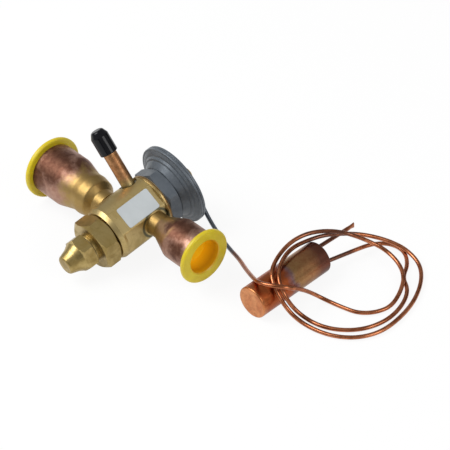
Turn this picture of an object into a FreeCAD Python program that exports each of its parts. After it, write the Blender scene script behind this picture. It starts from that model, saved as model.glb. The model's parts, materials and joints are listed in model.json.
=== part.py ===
import FreeCAD, Part
import math
import os

# Thermostatic expansion valve with remote bulb, lying on a table as it would come to rest.
#
# Every piece of the valve is drawn about the valve's own axis, which is X: the power head
# points to +X, the adjusting stem and its cap to -X, the inlet to -Y and the outlet to +Y.
# X = 0 is the face of the body that the head screws down on.
# lay_down() then tips the finished pieces until the head's rim and the bottom nut both
# touch the table at z = 0. The bulb and its capillary are drawn straight on the table.
# All sizes are in millimetres and all angles in degrees.

# Fits and gaps
RUNNING_GAP = 0.05      # radial gap of a pin in its hole
SLIDING_GAP = 0.15      # radial gap of a guided slider
THREAD_GAP = 0.08       # radial gap between plain cylinders that stand for a thread pair
SEAT_GAP = 0.1          # gap between faces of different moving bodies
SOFT_GAP = 0.1          # radial gap of a push-in plastic plug

# Small edges that many turned pieces share
EDGE_R = 0.4
EDGE_BREAK = 0.5
CORNER_SPARE = 0.01     # lets a hexagon's corners stay sharp where nothing turns them off
FACE_INSET = 0.2        # how far a hexagon's chamfer circle lies inside its flats

# Body, turned from round bar
BODY_R = 16.5
BODY_LENGTH = 36.2
BODY_CONE_LENGTH = 2.6
BODY_CONE_DROP = 1.3
BODY_SHOULDER_R = 0.6
RIM_GROOVE_X = -1.6
RIM_GROOVE_WIDTH = 0.8
RIM_GROOVE_DEPTH = 0.4
LABEL_FLAT_DEPTH = 1.5
LABEL_ANGLE = -37.0     # round the axis, from straight up towards the outlet
LABEL_LENGTH = 22.4
LABEL_WIDTH = 13.0
LABEL_THICKNESS = 0.25
LABEL_CORNER_R = 1.2
LABEL_END_X = -5.2

# Screwed neck of the body, inside the head nut
NECK_R = 11.0
NECK_LENGTH = 7.4
NECK_CHAMFER = 0.8

# Stepped bore of the body, from the bottom end
BOTTOM_THREAD_R = 11.0
BOTTOM_THREAD_DEPTH = 7.2
CHAMBER_R = 9.5
CHAMBER_END_X = -17.3
SEAT_R = 6.0
SEAT_THICKNESS = 2.5
PORT_R = 2.3
INLET_CHAMBER_R = 4.5
INLET_CHAMBER_END_X = -6.2

# Inlet, on -Y
INLET_X = -11.1
INLET_REACH = 56.8      # from the valve's axis to the outer face of the plug
INLET_HOLE_R = 3.5
INLET_TENON_R = 6.0
INLET_NECK_R = 7.1
INLET_PROFILE = [       # distance from the valve's axis, radius, rounding
    (21.5, INLET_NECK_R, 3.0),
    (34.5, 12.5, 5.0),
]
INLET_SOCKET_LENGTH = 19.3   # full pipe, from the end of the flare
INLET_SOCKET_R = 11.175
INLET_SPOT_R = 8.6
INLET_FLAT_DEPTH = 1.6
INLET_FLAT_INSET = 1.4   # from the body's bottom cone to the flat

# Outlet, on +Y
OUTLET_X = -20.1
OUTLET_REACH = 68.6
OUTLET_HOLE_R = 5.8
OUTLET_TENON_R = 7.2
OUTLET_NECK_R = 8.0
OUTLET_PROFILE = [      # distance from the valve's axis, radius, rounding
    (21.8, OUTLET_NECK_R, 1.0),
    (25.4, 11.5, 2.0),
    (31.0, 12.6, 5.0),
    (36.0, 12.3, 5.0),
    (47.8, 15.4, 6.0),
]
OUTLET_SOCKET_LENGTH = 17.8   # full pipe, from the end of the flare
OUTLET_SOCKET_R = 14.35
OUTLET_SPOT_R = 10.6

# Port tenons, spot faces and tube walls
TENON_DEPTH = 3.6
SPOT_DEPTH = 0.7
FITTING_WALL = 1.3
FITTING_STEP = 1.0      # how much a fitting's hole narrows in its tenon

# Strainer in the inlet neck
STRAINER_RIM_WIDTH = 1.6
STRAINER_RIM_LENGTH = 2.2
STRAINER_WALL = 0.5
STRAINER_TIP_R = 2.6
STRAINER_DEPTH = 9.0
STRAINER_FIT = 0.02      # radial gap of the strainer's rim in the socket

# Equalizer tube and its vinyl cap
EQUALIZER_ANGLE = 32.0
EQUALIZER_X = -8.4
EQUALIZER_R = 4.0
EQUALIZER_BORE_R = 3.2
EQUALIZER_REACH = 52.0
EQUALIZER_SOCKET_DEPTH = 4.1
EQUALIZER_SPOT_R = 5.6
EQUALIZER_SPOT_DEPTH = 1.0
EQUALIZER_DUCT_R = 1.3
EQUALIZER_DUCT_OFFSET = 8.8
EQUALIZER_FEED_R = 1.7
VINYL_CAP_R = 5.3
VINYL_CAP_LENGTH = 14.7
VINYL_CAP_WALL_END = 1.6
VINYL_CAP_TAPER = 3.6
VINYL_CAP_TAPER_BEND = 1.5
VINYL_CAP_TIP_R = 3.5
VINYL_CAP_TIP_BEND = 1.7

# Plastic plugs
PLUG_RIM_THICKNESS = 3.0
INLET_PLUG_RIM_R = 16.5
OUTLET_PLUG_RIM_R = 19.05
PLUG_WALL = 0.9
PLUG_FLOOR = 1.2
PLUG_DEPTH = 9.0
PLUG_MOUTH_CHAMFER = 0.8
PLUG_RIM_BEND = 1.2
PLUG_LEAD = 1.6         # length of the plug's tapered tip
PLUG_LEAD_DROP = 0.8
PLUG_DRAFT = 1.0        # how much the plug's hollow narrows to its floor

# Power head
HEAD_NUT_FLATS = 31.0
HEAD_NUT_LENGTH = 7.7
HEAD_NUT_PHASE = 60.0
HEAD_NUT_CHAMFER = 1.2
HEAD_GASKET_THICKNESS = 0.5
HEAD_GASKET_R = 15.8
FLANGE_R = 24.9
FLANGE_BACK_X = 14.2
FLANGE_EDGE_R = 0.5
SHEET = 1.3
FLANGE_SHEET = 1.6
DIAPHRAGM_SHEET = 0.25
DIAPHRAGM_CRESTS = [14.5, 16.5, 18.5]
DIAPHRAGM_WAVE = 0.5    # height of a pressed wave
DIAPHRAGM_HALF_WAVE = 1.0
DIAPHRAGM_EDGE_GAP = 0.3
CASE_PROFILE = [        # share of the dish's depth from the nut, inset from the rim, rounding
    (0, 9.0, 0.8),
    (0.58, 6.2, 0),
    (0.61, 5.2, 0.5),
    (0.82, 4.2, 0),
    (0.86, 3.0, 0.5),
]
CASE_LIP_WIDTH = 1.3
CASE_LIP_BEND = 0.3
DOME_FOOT_R = 19.5
DOME_FOOT_BEND = 1.2
DOME_SHOULDER_R = 18.0
DOME_SHOULDER_RISE = 2.6
DOME_SHOULDER_BEND = 2.0
DOME_TOP_R = 9.0
DOME_TOP_BEND = 9.0
DOME_RISE = 5.2
BOSS_R = 4.0
BOSS_HEIGHT = 4.4
BOSS_STEP = 1.2
BOSS_TOP_BEND = 0.8
BOSS_TUBE_DEPTH = 2.4   # distance of the capillary's end from the boss's middle
BOSS_TUBE_ANGLE = 40.0  # from straight down towards the inlet
BOSS_TUBE_X = 25.4

# Parts that the diaphragm moves
BUFFER_R = 13.0
BUFFER_THICKNESS = 2.4
BUFFER_GAP = 0.35       # flat diaphragm to the buffer plate's front
BUFFER_BEVEL = 1.2
PUSHROD_R = 1.0
PUSHROD_OFFSET = 7.5
PUSHROD_ANGLE = -30.0
CARRIER_R = 8.8
CARRIER_THICKNESS = 2.3
CARRIER_HUB_R = 4.6
CARRIER_HUB_LENGTH = 1.4
CARRIER_LIFT = 0.7      # gap between the carrier and the roof of its chamber
PIN_SHANK_R = 1.5
PIN_TIP_R = 0.9
PIN_TIP_LENGTH = 2.8
PIN_CONE_GAP = 0.15
SEAT_FUNNEL = 0.6

# Superheat spring
SPRING_R = 6.6
SPRING_WIRE_R = 0.8
SPRING_PITCH = 1.84
SPRING_END_GAP = 0.12
SPRING_SIDES = 8

# Adjusting stem and the spring seat that travels on it
SPRING_SEAT_INSET = 2.8 # from the body's bottom face to the seat disc
SPRING_SEAT_THICKNESS = 3.0
SPRING_SEAT_R = 8.6
SPIGOT_BORE_R = 8.8
TONGUE_WIDTH = 2.4
TONGUE_HEIGHT = 0.8
STEM_R = 3.0
STEM_SHARE = 0.3218391  # how far the stem passes the seat, of the way to the pin
STEM_PAST_NECK = 4.2
STEM_CHAMFER = 0.6
STEM_SQUARE = 4.2
STEM_SQUARE_CHAMFER = 0.8
STEM_SQUARE_LENGTH = 4.6
COLLAR_R = 5.6
COLLAR_THICKNESS = 1.5

# Bottom cap
NUT_FLATS = 28.0
NUT_LENGTH = 10.65
NUT_PHASE = 55.0
NUT_CHAMFER = 1.8
SPIGOT_LENGTH = 6.8
CAP_FLOOR = 2.2         # how far the spigot's bore runs into the hexagon
NUT_GASKET_THICKNESS = 0.25
NUT_GASKET_R = 12.8
SHOULDER_R = 8.6
SHOULDER_LENGTH = 2.1
STEM_NECK_R = 6.8
STEM_NECK_LENGTH = 6.2
PACKING_R = 5.0
PACKING_LENGTH = 2.6
PACKING_DEPTH = 0.4     # from the hexagon's face to the packing's inner face
PACKING_BEVEL = 0.6
PACKING_NUT_GAP = 0.05  # from the soft ring to the nut's cone
PACKING_NUT_LENGTH = 4.4
PACKING_NUT_SLOT = 1.6
PACKING_NUT_SLOT_DEPTH = 1.2

# Seal cap
SEAL_CAP_FLATS = 18.6
SEAL_CAP_HEX_LENGTH = 7.4
SEAL_CAP_PHASE = 75.0
SEAL_CAP_BELL_R = 9.2
SEAL_CAP_NOSE_LENGTH = 9.0
SEAL_CAP_NOSE_R = 5.4
SEAL_CAP_NOSE_BEND = 1.4
SEAL_CAP_WAIST = 3.4
SEAL_CAP_WAIST_DROP = 1.8
SEAL_CAP_WAIST_BEND = 4.0
SEAL_CAP_THREAD_LENGTH = 7.4
SEAL_CAP_CAVITY_R = 3.9
SEAL_CAP_CAVITY_LENGTH = 5.2
SEAL_CAP_CAVITY_TAPER = 1.6
CAP_GASKET_THICKNESS = 0.6

# Capillary, bulb and charging stub, laid on the table
CAPILLARY_R = 1.2
BEND_SHARE = 0.45       # share of the shorter run that a bend takes up
BULB_R = 9.525
BULB_LENGTH = 52.6
BULB_START = (9.2, -98.7)
BULB_TURN = 2.3
BULB_WALL = 1.0
BULB_EDGE_R = 0.8
BULB_PLUG_LENGTH = 3.0
BULB_TUBE_OFFSET = 4.4
BULB_TUBE_ANGLE = 41.0
STUB_ROUND_LENGTH = 27.0
STUB_FLAT_LENGTH = 5.0
STUB_FLAT_THICKNESS = 0.9
STUB_FLAT_WIDTH = 3.4
STUB_RISE = -1.5

# Where the valve lies: the table point under the middle of the whole valve
MIDDLE_X = -19.35

# Route of the capillary between the head and the bulb, chosen by hand
CAPILLARY_ROUTE = [
    (45.5, -14.5, 15.5),
    (44.5, -21.0, 7.5),
    (43.0, -29.0, 2.8),
    (40.5, -38.0, 1.5),
    (37.0, -49.5, 1.5),
    (33.5, -61.5, 3.5),
    (25.5, -76.0, 10.0),
    (17.5, -91.0, 18.0),
    (12.5, -102.0, 23.5),
    (20.0, -115.5, 24.5),
    (31.5, -114.5, 15.5),
    (40.0, -114.0, 7.0),
    (45.0, -118.5, 2.0),
    (47.5, -128.5, 1.5),
    (50.5, -139.0, 1.5),
    (58.0, -145.5, 1.5),
    (68.5, -147.0, 1.5),
    (79.0, -142.5, 1.5),
    (89.0, -134.0, 1.5),
    (96.0, -123.0, 1.5),
    (94.5, -114.5, 6.0),
    (88.0, -109.0, 12.5),
    (79.0, -106.0, 20.5),
    (73.5, -99.5, 22.5),
    (67.5, -93.0, 22.5),
    (59.0, -88.5, 22.5),
    (48.0, -87.5, 22.0),
    (33.5, -92.5, 22.5),
    (23.0, -99.5, 22.5),
    (19.0, -108.0, 17.5),
    (21.0, -114.5, 7.0),
    (23.0, -122.5, 2.0),
    (25.0, -134.5, 1.5),
    (29.5, -145.0, 1.5),
    (37.5, -153.5, 1.5),
    (49.5, -158.5, 1.5),
    (65.0, -157.5, 1.5),
    (79.5, -153.5, 1.5),
    (94.0, -145.0, 1.5),
    (103.5, -134.5, 1.5),
    (105.0, -122.5, 4.0),
    (100.5, -113.5, 7.5),
    (93.5, -106.0, 11.0),
    (85.5, -101.0, 14.5),
    (77.0, -97.0, 17.0),
    (69.0, -92.5, 18.0),
    (59.5, -90.0, 18.5),
    (47.0, -90.5, 21.0),
    (34.0, -96.0, 22.5),
    (24.0, -104.0, 22.0),
    (21.0, -112.0, 16.5),
    (24.0, -116.5, 7.0),
    (27.0, -123.5, 2.0),
    (29.0, -132.5, 1.5),
    (33.5, -141.0, 1.5),
    (40.5, -148.0, 1.5),
    (49.5, -152.5, 1.5),
    (61.0, -154.0, 1.5),
    (73.5, -151.0, 1.5),
    (85.0, -143.5, 1.5),
    (95.0, -133.0, 1.5),
    (102.0, -121.0, 1.5),
    (102.5, -111.0, 2.0),
    (96.0, -103.5, 3.0),
    (83.5, -102.5, 4.5),
    (74.0, -101.5, 6.0),
]


def vector(x, y, z):
    return FreeCAD.Vector(x, y, z)


AXIS = vector(1, 0, 0)
ORIGIN = vector(0, 0, 0)


# Shared drawing helpers

def corner_arc(before, corner, after, radius):
    """Start, middle and end of the arc that rounds a corner."""
    back = (before - corner).normalize()
    ahead = (after - corner).normalize()
    turn = math.pi - back.getAngle(ahead)
    reach = radius * math.tan(turn / 2)
    inward = (back + ahead).normalize()
    sag = radius / math.cos(turn / 2) - radius
    return corner + back * reach, corner + inward * sag, corner + ahead * reach


def straight(edges, start, end):
    """Adds a straight edge, unless an arc already ends at the next one's start."""
    if start.distanceToPoint(end) > 0.001:
        edges.append(Part.LineSegment(start, end).toShape())


def rounded_edges(points, radii):
    """Lines and tangent arcs through a list of points, one radius for each inner point."""
    edges = []
    here = points[0]
    for i in range(1, len(points) - 1):
        if radii[i] > 0:
            start, middle, end = corner_arc(points[i - 1], points[i], points[i + 1], radii[i])
            straight(edges, here, start)
            edges.append(Part.Arc(start, middle, end).toShape())
            here = end
        else:
            straight(edges, here, points[i])
            here = points[i]
    straight(edges, here, points[-1])
    return edges


def turned(outline):
    """Solid turned about X from (x, r) or (x, r, corner radius) points, closed on the axis."""
    points = [vector(p[0], p[1], 0) for p in outline]
    radii = [p[2] if len(p) > 2 else 0 for p in outline]
    points.append(points[0])
    radii.append(0)
    wire = Part.Wire(rounded_edges(points, radii))
    return Part.Face(wire).revolve(ORIGIN, AXIS, 360)


def rod(x_from, x_to, radius):
    """Cylinder on the valve's axis between two stations."""
    low = min(x_from, x_to)
    return Part.makeCylinder(radius, abs(x_to - x_from), vector(low, 0, 0), AXIS)


def ring(x_from, x_to, outer, inner):
    return rod(x_from, x_to, outer).cut(rod(x_from, x_to, inner))


def round_the_axis(angle):
    """Direction at an angle round the valve's axis, from straight up towards the outlet."""
    return vector(0, math.sin(math.radians(angle)), math.cos(math.radians(angle)))


def hexagon(x_from, x_to, flats, phase):
    """Hexagonal bar on the valve's axis, with one corner at the given angle."""
    corners = []
    for i in range(7):
        corners.append(round_the_axis(phase + 60 * i) * (flats / math.sqrt(3)) + AXIS * x_from)
    return Part.Face(Part.makePolygon(corners)).extrude(AXIS * (x_to - x_from))


def chamfered_hexagon(x_from, x_to, flats, phase, chamfer):
    """Hexagon whose corners are turned off at both ends, as on every nut."""
    corner_r = flats / math.sqrt(3) + CORNER_SPARE
    face_r = flats / 2 - FACE_INSET
    blank = turned([
        (x_from, 0),
        (x_from, face_r),
        (x_from + chamfer, corner_r),
        (x_to - chamfer, corner_r),
        (x_to, face_r),
        (x_to, 0),
    ])
    return hexagon(x_from, x_to, flats, phase).common(blank)


def onto_port(shape, x, direction):
    """Moves a shape turned about X so that it stands on a port's axis, pointing outwards."""
    shape = shape.copy()
    turn = FreeCAD.Rotation(AXIS, direction)
    shape.Placement = FreeCAD.Placement(vector(x, 0, 0), turn).multiply(shape.Placement)
    return shape


def inlet_port(shape):
    return onto_port(shape, INLET_X, vector(0, -1, 0))


def outlet_port(shape):
    return onto_port(shape, OUTLET_X, vector(0, 1, 0))


def equalizer_port(shape):
    return onto_port(shape, EQUALIZER_X, round_the_axis(EQUALIZER_ANGLE))


# Stations that several pieces share

BOTTOM_X = -BODY_LENGTH
GROOVE_END_X = RIM_GROOVE_X - RIM_GROOVE_WIDTH
INLET_BASE = BODY_R - INLET_FLAT_DEPTH
OUTLET_BASE = BODY_R - SPOT_DEPTH
INLET_PIPE_END = INLET_REACH - PLUG_RIM_THICKNESS
INLET_PIPE_START = INLET_PIPE_END - INLET_SOCKET_LENGTH
OUTLET_PIPE_END = OUTLET_REACH - PLUG_RIM_THICKNESS
OUTLET_PIPE_START = OUTLET_PIPE_END - OUTLET_SOCKET_LENGTH
EQUALIZER_SOCKET_BOTTOM = BODY_R - EQUALIZER_SOCKET_DEPTH
HEAD_NUT_BACK_X = HEAD_GASKET_THICKNESS
HEAD_NUT_FRONT_X = HEAD_NUT_BACK_X + HEAD_NUT_LENGTH
DIAPHRAGM_X = FLANGE_BACK_X + FLANGE_SHEET
UPPER_FLANGE_X = DIAPHRAGM_X + DIAPHRAGM_SHEET
FLANGE_FRONT_X = UPPER_FLANGE_X + FLANGE_SHEET
DOME_TOP_X = FLANGE_FRONT_X + DOME_RISE
BUFFER_FRONT_X = DIAPHRAGM_X - BUFFER_GAP
BUFFER_BACK_X = BUFFER_FRONT_X - BUFFER_THICKNESS
CARRIER_FRONT_X = CHAMBER_END_X - CARRIER_LIFT
CARRIER_BACK_X = CARRIER_FRONT_X - CARRIER_THICKNESS
CARRIER_HUB_X = CARRIER_BACK_X - CARRIER_HUB_LENGTH
SPRING_SEAT_X = BOTTOM_X + SPRING_SEAT_INSET
SPRING_SEAT_FRONT_X = SPRING_SEAT_X + SPRING_SEAT_THICKNESS
STEM_INNER_X = SPRING_SEAT_FRONT_X + STEM_SHARE * (CARRIER_HUB_X - SPRING_SEAT_FRONT_X)
NUT_BACK_X = BOTTOM_X - NUT_GASKET_THICKNESS
NUT_FRONT_X = NUT_BACK_X - NUT_LENGTH
FLOOR_X = NUT_BACK_X - CAP_FLOOR
SHOULDER_X = NUT_FRONT_X - SHOULDER_LENGTH
STEM_NECK_END_X = SHOULDER_X - STEM_NECK_LENGTH
STEM_OUTER_X = STEM_NECK_END_X - STEM_PAST_NECK
PACKING_X = NUT_FRONT_X - PACKING_DEPTH
SEAL_CAP_BACK_X = SHOULDER_X - CAP_GASKET_THICKNESS
SEAL_CAP_HEX_END_X = SEAL_CAP_BACK_X - SEAL_CAP_HEX_LENGTH
SEAL_CAP_TIP_X = SEAL_CAP_HEX_END_X - SEAL_CAP_NOSE_LENGTH


# Body and port fittings

def planed_flat(angle, depth, x_from, x_to):
    """Block that planes a flat on the body, facing the given angle round the axis."""
    block = Part.makeBox(x_to - x_from, 2 * BODY_R, BODY_R)
    block.translate(vector(x_from, -BODY_R, BODY_R - depth))
    block.rotate(ORIGIN, AXIS, -angle)
    return block


def body_bar():
    """The turned bar with its cone, rim groove and screwed neck, and its two planed flats."""
    bar = turned([
        (BOTTOM_X, 0),
        (BOTTOM_X, BODY_R - BODY_CONE_DROP),
        (BOTTOM_X + BODY_CONE_LENGTH, BODY_R, BODY_SHOULDER_R),
        (GROOVE_END_X, BODY_R),
        (GROOVE_END_X + RIM_GROOVE_WIDTH / 2, BODY_R - RIM_GROOVE_DEPTH),
        (RIM_GROOVE_X, BODY_R),
        (-EDGE_BREAK, BODY_R),
        (0, BODY_R - EDGE_BREAK),
        (0, NECK_R),
        (NECK_LENGTH - NECK_CHAMFER, NECK_R),
        (NECK_LENGTH, NECK_R - NECK_CHAMFER),
        (NECK_LENGTH, 0),
    ])
    cone_end = BOTTOM_X + BODY_CONE_LENGTH
    label_flat = planed_flat(LABEL_ANGLE, LABEL_FLAT_DEPTH, cone_end, GROOVE_END_X)
    inlet_flat = planed_flat(-90, INLET_FLAT_DEPTH, cone_end + INLET_FLAT_INSET, GROOVE_END_X)
    return bar.cut([label_flat, inlet_flat])


def body_bores():
    """The stepped bore from the bottom, with the seat's pocket and the inlet chamber."""
    return [
        rod(BOTTOM_X, BOTTOM_X + BOTTOM_THREAD_DEPTH, BOTTOM_THREAD_R),
        rod(BOTTOM_X, CHAMBER_END_X, CHAMBER_R),
        rod(CHAMBER_END_X, CHAMBER_END_X + SEAT_THICKNESS, SEAT_R),
        rod(CHAMBER_END_X, INLET_CHAMBER_END_X, INLET_CHAMBER_R),
    ]


def inlet_cuts():
    tenon_end = BODY_R - TENON_DEPTH
    cuts = [
        rod(0, BODY_R, INLET_HOLE_R),
        rod(tenon_end, 2 * BODY_R, INLET_TENON_R),
        rod(INLET_BASE, 2 * BODY_R, INLET_SPOT_R),
    ]
    return [inlet_port(cut) for cut in cuts]


def outlet_cuts():
    tenon_end = BODY_R - TENON_DEPTH
    cuts = [
        rod(CHAMBER_R / 2, BODY_R, OUTLET_HOLE_R),
        rod(tenon_end, 2 * BODY_R, OUTLET_TENON_R),
        rod(OUTLET_BASE, 2 * BODY_R, OUTLET_SPOT_R),
    ]
    return [outlet_port(cut) for cut in cuts]


def equalizer_cuts():
    """Socket and spot face of the side tube, and the duct that leads to the diaphragm."""
    cuts = [
        rod(BODY_R - EQUALIZER_SPOT_DEPTH, 2 * BODY_R, EQUALIZER_SPOT_R),
        rod(EQUALIZER_SOCKET_BOTTOM, 2 * BODY_R, EQUALIZER_R),
        rod(EQUALIZER_DUCT_OFFSET, 2 * BODY_R, EQUALIZER_FEED_R),
    ]
    duct = rod(EQUALIZER_X, NECK_LENGTH, EQUALIZER_DUCT_R)
    duct.translate(round_the_axis(EQUALIZER_ANGLE) * EQUALIZER_DUCT_OFFSET)
    return [equalizer_port(cut) for cut in cuts] + [duct]


def valve_body():
    guides = pushrod_lines(CHAMBER_END_X, NECK_LENGTH, PUSHROD_R + RUNNING_GAP)
    cuts = body_bores() + inlet_cuts() + outlet_cuts() + equalizer_cuts() + guides
    return body_bar().cut(cuts)


def label_plate():
    plate = Part.makeBox(LABEL_LENGTH, LABEL_WIDTH, LABEL_THICKNESS)
    upright = [e for e in plate.Edges if abs(e.tangentAt(e.FirstParameter).z) > 0.9]
    plate = plate.makeFillet(LABEL_CORNER_R, upright)
    height = BODY_R - LABEL_FLAT_DEPTH
    plate.translate(vector(LABEL_END_X - LABEL_LENGTH, -LABEL_WIDTH / 2, height))
    plate.rotate(ORIGIN, AXIS, -LABEL_ANGLE)
    return plate


def fitting(base, profile, tenon_r, socket_r, pipe_start, pipe_end):
    """Tube fitting turned about X: a tenon in the body, a shaped neck and a pipe socket.

    The profile runs from the end of the neck to the full pipe, and is stretched between them.
    """
    tenon_end = BODY_R - TENON_DEPTH
    neck_end, neck_r = profile[0][:2]
    pipe_r = profile[-1][1]
    stretch = (pipe_start - neck_end) / (profile[-1][0] - neck_end)
    outer = [(tenon_end, 0), (tenon_end, tenon_r), (base, tenon_r), (base, neck_r)]
    for x, radius, bend in profile:
        outer.append((neck_end + (x - neck_end) * stretch, radius, bend * stretch))
    outer += [(pipe_end, pipe_r), (pipe_end, 0)]
    hole_r = neck_r - FITTING_WALL - FITTING_STEP
    inner = turned([
        (tenon_end, 0),
        (tenon_end, hole_r),
        (neck_end, hole_r),
        (pipe_start + FITTING_WALL, socket_r),
        (pipe_end, socket_r),
        (pipe_end, 0),
    ])
    return turned(outer).cut(inner)


def inlet_fitting():
    """Copper inlet with a narrow neck and one smooth flare to the pipe."""
    shape = fitting(INLET_BASE, INLET_PROFILE, INLET_TENON_R, INLET_SOCKET_R,
                    INLET_PIPE_START, INLET_PIPE_END)
    return inlet_port(shape)


def outlet_fitting():
    """Larger fitting whose neck swells, narrows a little and then flares to the pipe."""
    shape = fitting(OUTLET_BASE, OUTLET_PROFILE, OUTLET_TENON_R, OUTLET_SOCKET_R,
                    OUTLET_PIPE_START, OUTLET_PIPE_END)
    return outlet_port(shape)


def inlet_strainer():
    rim_r = INLET_SOCKET_R - STRAINER_FIT
    rim_x = INLET_PIPE_START + FITTING_WALL
    back = rim_x + STRAINER_RIM_LENGTH
    tip_x = back - STRAINER_DEPTH
    mouth_r = rim_r - STRAINER_RIM_WIDTH
    shape = turned([
        (back, mouth_r),
        (back, rim_r),
        (rim_x, rim_r),
        (rim_x, mouth_r),
        (tip_x, STRAINER_TIP_R),
        (tip_x, 0),
        (tip_x + STRAINER_WALL, 0),
        (tip_x + STRAINER_WALL, STRAINER_TIP_R - STRAINER_WALL / 2),
        (rim_x + STRAINER_WALL, mouth_r - STRAINER_WALL),
        (back, mouth_r - STRAINER_WALL),
    ])
    return inlet_port(shape)


def equalizer_tube():
    end = EQUALIZER_REACH - VINYL_CAP_WALL_END - SEAT_GAP
    tube = ring(EQUALIZER_SOCKET_BOTTOM, end, EQUALIZER_R, EQUALIZER_BORE_R)
    return equalizer_port(tube)


def equalizer_cap():
    tip = EQUALIZER_REACH
    mouth = tip - VINYL_CAP_LENGTH
    bore_r = EQUALIZER_R + SEAT_GAP
    return equalizer_port(turned([
        (mouth, bore_r),
        (mouth, VINYL_CAP_R, EDGE_R),
        (tip - VINYL_CAP_TAPER, VINYL_CAP_R, VINYL_CAP_TAPER_BEND),
        (tip, VINYL_CAP_TIP_R, VINYL_CAP_TIP_BEND),
        (tip, 0),
        (tip - VINYL_CAP_WALL_END, 0),
        (tip - VINYL_CAP_WALL_END, bore_r),
    ]))


def flanged_plug(rim_r, socket_r, reach):
    """Plastic cup with a broad rim that stops on the pipe's end, its mouth outwards."""
    outer_r = socket_r - SOFT_GAP
    inner_r = outer_r - PLUG_WALL
    stop = reach - PLUG_RIM_THICKNESS
    floor = stop - PLUG_DEPTH
    return turned([
        (floor, 0),
        (floor, outer_r - PLUG_LEAD_DROP),
        (floor + PLUG_LEAD, outer_r),
        (stop, outer_r),
        (stop, rim_r, PLUG_RIM_BEND),
        (reach, rim_r, PLUG_RIM_BEND),
        (reach, inner_r + PLUG_MOUTH_CHAMFER),
        (reach - PLUG_MOUTH_CHAMFER, inner_r),
        (floor + PLUG_FLOOR, inner_r - PLUG_DRAFT),
        (floor + PLUG_FLOOR, 0),
    ])


def inlet_plug():
    return inlet_port(flanged_plug(INLET_PLUG_RIM_R, INLET_SOCKET_R, INLET_REACH))


def outlet_plug():
    return outlet_port(flanged_plug(OUTLET_PLUG_RIM_R, OUTLET_SOCKET_R, OUTLET_REACH))


# Power head

def head_gasket():
    return ring(0, HEAD_GASKET_THICKNESS, HEAD_GASKET_R, NECK_R + THREAD_GAP)


def head_nut():
    nut = chamfered_hexagon(HEAD_NUT_BACK_X, HEAD_NUT_FRONT_X, HEAD_NUT_FLATS,
                            HEAD_NUT_PHASE, HEAD_NUT_CHAMFER)
    return nut.cut(rod(HEAD_NUT_BACK_X, HEAD_NUT_FRONT_X, NECK_R + THREAD_GAP))


def lower_case():
    """Pressed steel dish: a broad cone, two stepped rings and the outer lip."""
    depth = FLANGE_BACK_X - HEAD_NUT_FRONT_X
    outside = []
    inside = []
    for share, inset, bend in CASE_PROFILE:
        x = HEAD_NUT_FRONT_X + share * depth
        outside.append((x, FLANGE_R - inset, bend))
        inside.append((x + SHEET, FLANGE_R - inset))
    lip = [
        (FLANGE_BACK_X, FLANGE_R - CASE_LIP_WIDTH, CASE_LIP_BEND),
        (FLANGE_BACK_X, FLANGE_R, FLANGE_EDGE_R),
        (DIAPHRAGM_X, FLANGE_R),
        (DIAPHRAGM_X, inside[-1][1]),
    ]
    bore_r = NECK_R + THREAD_GAP
    start = [(HEAD_NUT_FRONT_X, bore_r)]
    end = [(HEAD_NUT_FRONT_X + SHEET, bore_r)]
    return turned(start + outside + lip + inside[::-1] + end)


def diaphragm():
    """Thin disc with pressed waves, held between the two cases."""
    outline = [(0, 0)]
    for crest in DIAPHRAGM_CRESTS:
        outline += [(0, crest - DIAPHRAGM_HALF_WAVE), (DIAPHRAGM_WAVE, crest)]
    outline += [
        (0, DIAPHRAGM_CRESTS[-1] + DIAPHRAGM_HALF_WAVE),
        (0, FLANGE_R - DIAPHRAGM_EDGE_GAP),
    ]
    near = [(DIAPHRAGM_X + x, r) for x, r in outline]
    far = [(DIAPHRAGM_X + DIAPHRAGM_SHEET + x, r) for x, r in outline]
    return turned(near + far[::-1])


def upper_case():
    """Pressed steel dome with a hole for the boss in its middle."""
    foot = FLANGE_FRONT_X
    hole_r = BOSS_R - BOSS_STEP
    return turned([
        (UPPER_FLANGE_X, DOME_FOOT_R),
        (UPPER_FLANGE_X, FLANGE_R),
        (foot, FLANGE_R, FLANGE_EDGE_R),
        (foot, DOME_FOOT_R + SHEET, DOME_FOOT_BEND),
        (foot + DOME_SHOULDER_RISE, DOME_SHOULDER_R, DOME_SHOULDER_BEND),
        (DOME_TOP_X, DOME_TOP_R, DOME_TOP_BEND),
        (DOME_TOP_X, hole_r),
        (DOME_TOP_X - SHEET, hole_r),
        (DOME_TOP_X - SHEET, DOME_TOP_R),
        (foot + DOME_SHOULDER_RISE - SHEET, DOME_SHOULDER_R - SHEET),
    ])


def capillary_boss():
    """Small brass post on the dome; the capillary enters its side."""
    top = DOME_TOP_X + BOSS_HEIGHT
    post = turned([
        (DOME_TOP_X - SHEET, 0),
        (DOME_TOP_X - SHEET, BOSS_R - BOSS_STEP),
        (DOME_TOP_X, BOSS_R - BOSS_STEP),
        (DOME_TOP_X, BOSS_R),
        (top, BOSS_R, BOSS_TOP_BEND),
        (top, 0),
    ])
    way = boss_way()
    start = vector(BOSS_TUBE_X, 0, 0) + way * BOSS_TUBE_DEPTH
    side_hole = Part.makeCylinder(CAPILLARY_R, 2 * BOSS_R, start, way)
    return post.cut(side_hole)


# Pieces that the diaphragm moves

def pushrod_lines(x_from, x_to, radius):
    rods = []
    for side in (0, 180):
        line = rod(x_from, x_to, radius)
        line.translate(round_the_axis(PUSHROD_ANGLE + side) * PUSHROD_OFFSET)
        rods.append(line)
    return rods


def buffer_plate():
    return turned([
        (BUFFER_BACK_X, 0),
        (BUFFER_BACK_X, BUFFER_R - BUFFER_BEVEL),
        (BUFFER_BACK_X + BUFFER_BEVEL, BUFFER_R),
        (BUFFER_FRONT_X - EDGE_BREAK, BUFFER_R),
        (BUFFER_FRONT_X, BUFFER_R - EDGE_BREAK),
        (BUFFER_FRONT_X, 0),
    ])


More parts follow.
